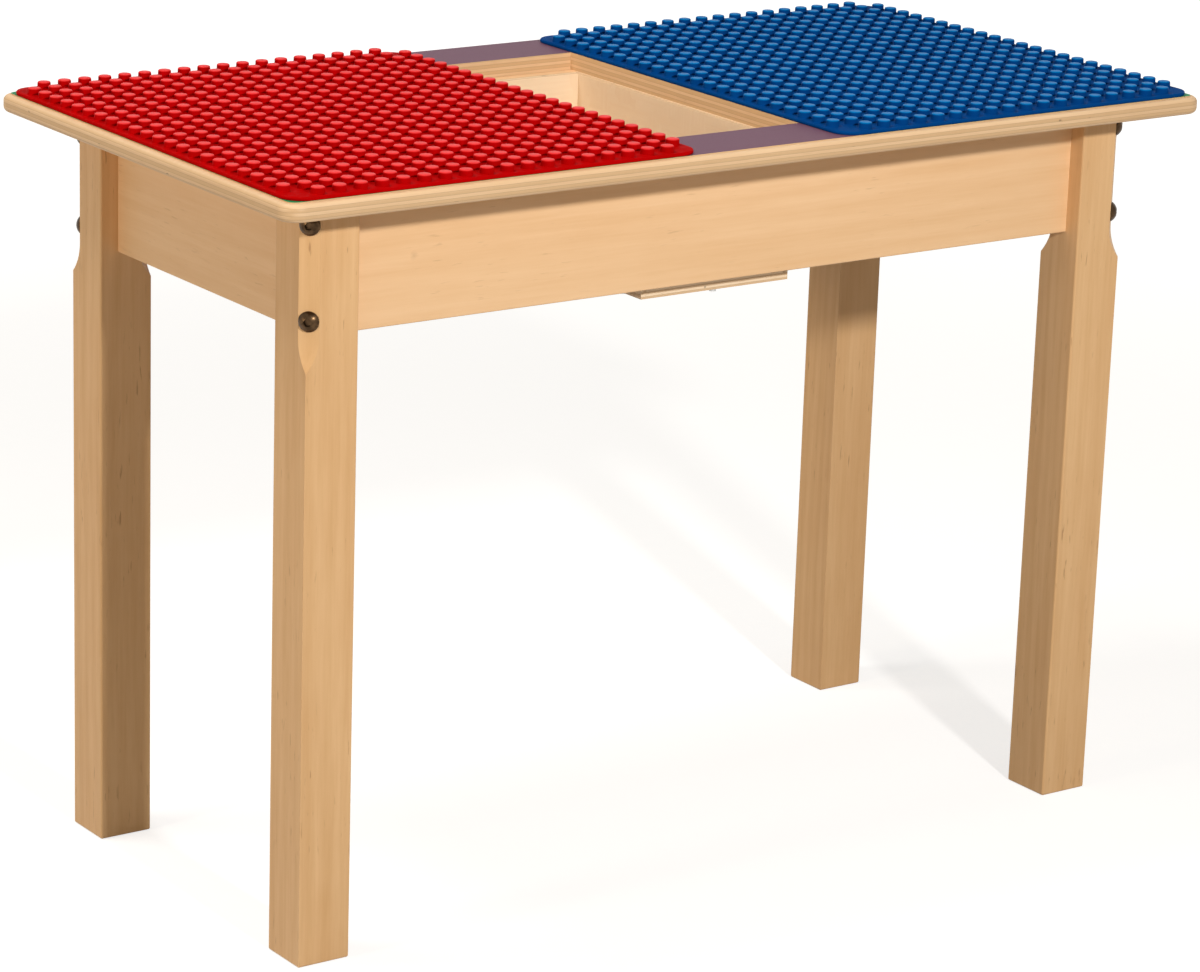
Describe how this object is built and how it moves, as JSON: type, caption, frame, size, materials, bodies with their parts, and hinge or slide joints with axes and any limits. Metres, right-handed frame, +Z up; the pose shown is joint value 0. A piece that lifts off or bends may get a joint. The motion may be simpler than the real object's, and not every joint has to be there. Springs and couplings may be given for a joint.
{
  "type": "play table",
  "caption": "Children's wooden play table with a red and a blue studded building plate that lift off, and an open storage bin let into the middle of its top.",
  "frame": {"origin": "on the floor, under the middle of the table top", "axes": "+X along the table to the blue plate's end, +Y from the front to the back, +Z up"},
  "size_m": [0.772, 0.396, 0.5459],
  "materials": {
    "maple_wood": "pale solid maple with fine straight grain and small dark flecks, clear satin lacquer",
    "birch_plywood": "pale birch plywood, layered edges, clear satin lacquer",
    "printed_laminate": "thin printed sheet, mauve beside the cut-out and green under the plates",
    "red_plastic": "glossy moulded red plastic",
    "blue_plastic": "glossy moulded blue plastic",
    "bronze_steel": "dark bronze plated steel",
    "zinc_steel": "zinc plated steel"
  },
  "bodies": {
    "table": {"table_top": "birch_plywood", "printed_top_sheet": "printed_laminate", "leg_bolts": "bronze_steel", "leg_bolt_washers": "zinc_steel", "leg_bolt_nuts": "zinc_steel", "corner_block_screws": "zinc_steel", "top_screws": "zinc_steel", "bin_bottom_screws": "zinc_steel", "bin_left_wall": "birch_plywood", "bin_right_wall": "birch_plywood", "bin_front_wall": "birch_plywood", "bin_back_wall": "birch_plywood", "bin_bottom": "birch_plywood", "front_apron": "maple_wood", "right_apron": "maple_wood", "back_apron": "maple_wood", "left_apron": "maple_wood", "left_cross_rail": "maple_wood", "right_cross_rail": "maple_wood", "front_left_leg": "maple_wood", "front_left_corner_block": "maple_wood", "front_right_leg": "maple_wood", "front_right_corner_block": "maple_wood", "back_right_leg": "maple_wood", "back_right_corner_block": "maple_wood", "back_left_leg": "maple_wood", "back_left_corner_block": "maple_wood"},
    "red_plate": {"red_building_plate": "red_plastic"},
    "blue_plate": {"blue_building_plate": "blue_plastic"}
  },
  "joints": [
    {"name": "red_plate_lift", "type": "slide", "parent": "table", "child": "red_plate", "axis": [0, 0, 1], "range_m": [0, 0.15]},
    {"name": "blue_plate_lift", "type": "slide", "parent": "table", "child": "blue_plate", "axis": [0, 0, 1], "range_m": [0, 0.15]}
  ]
}
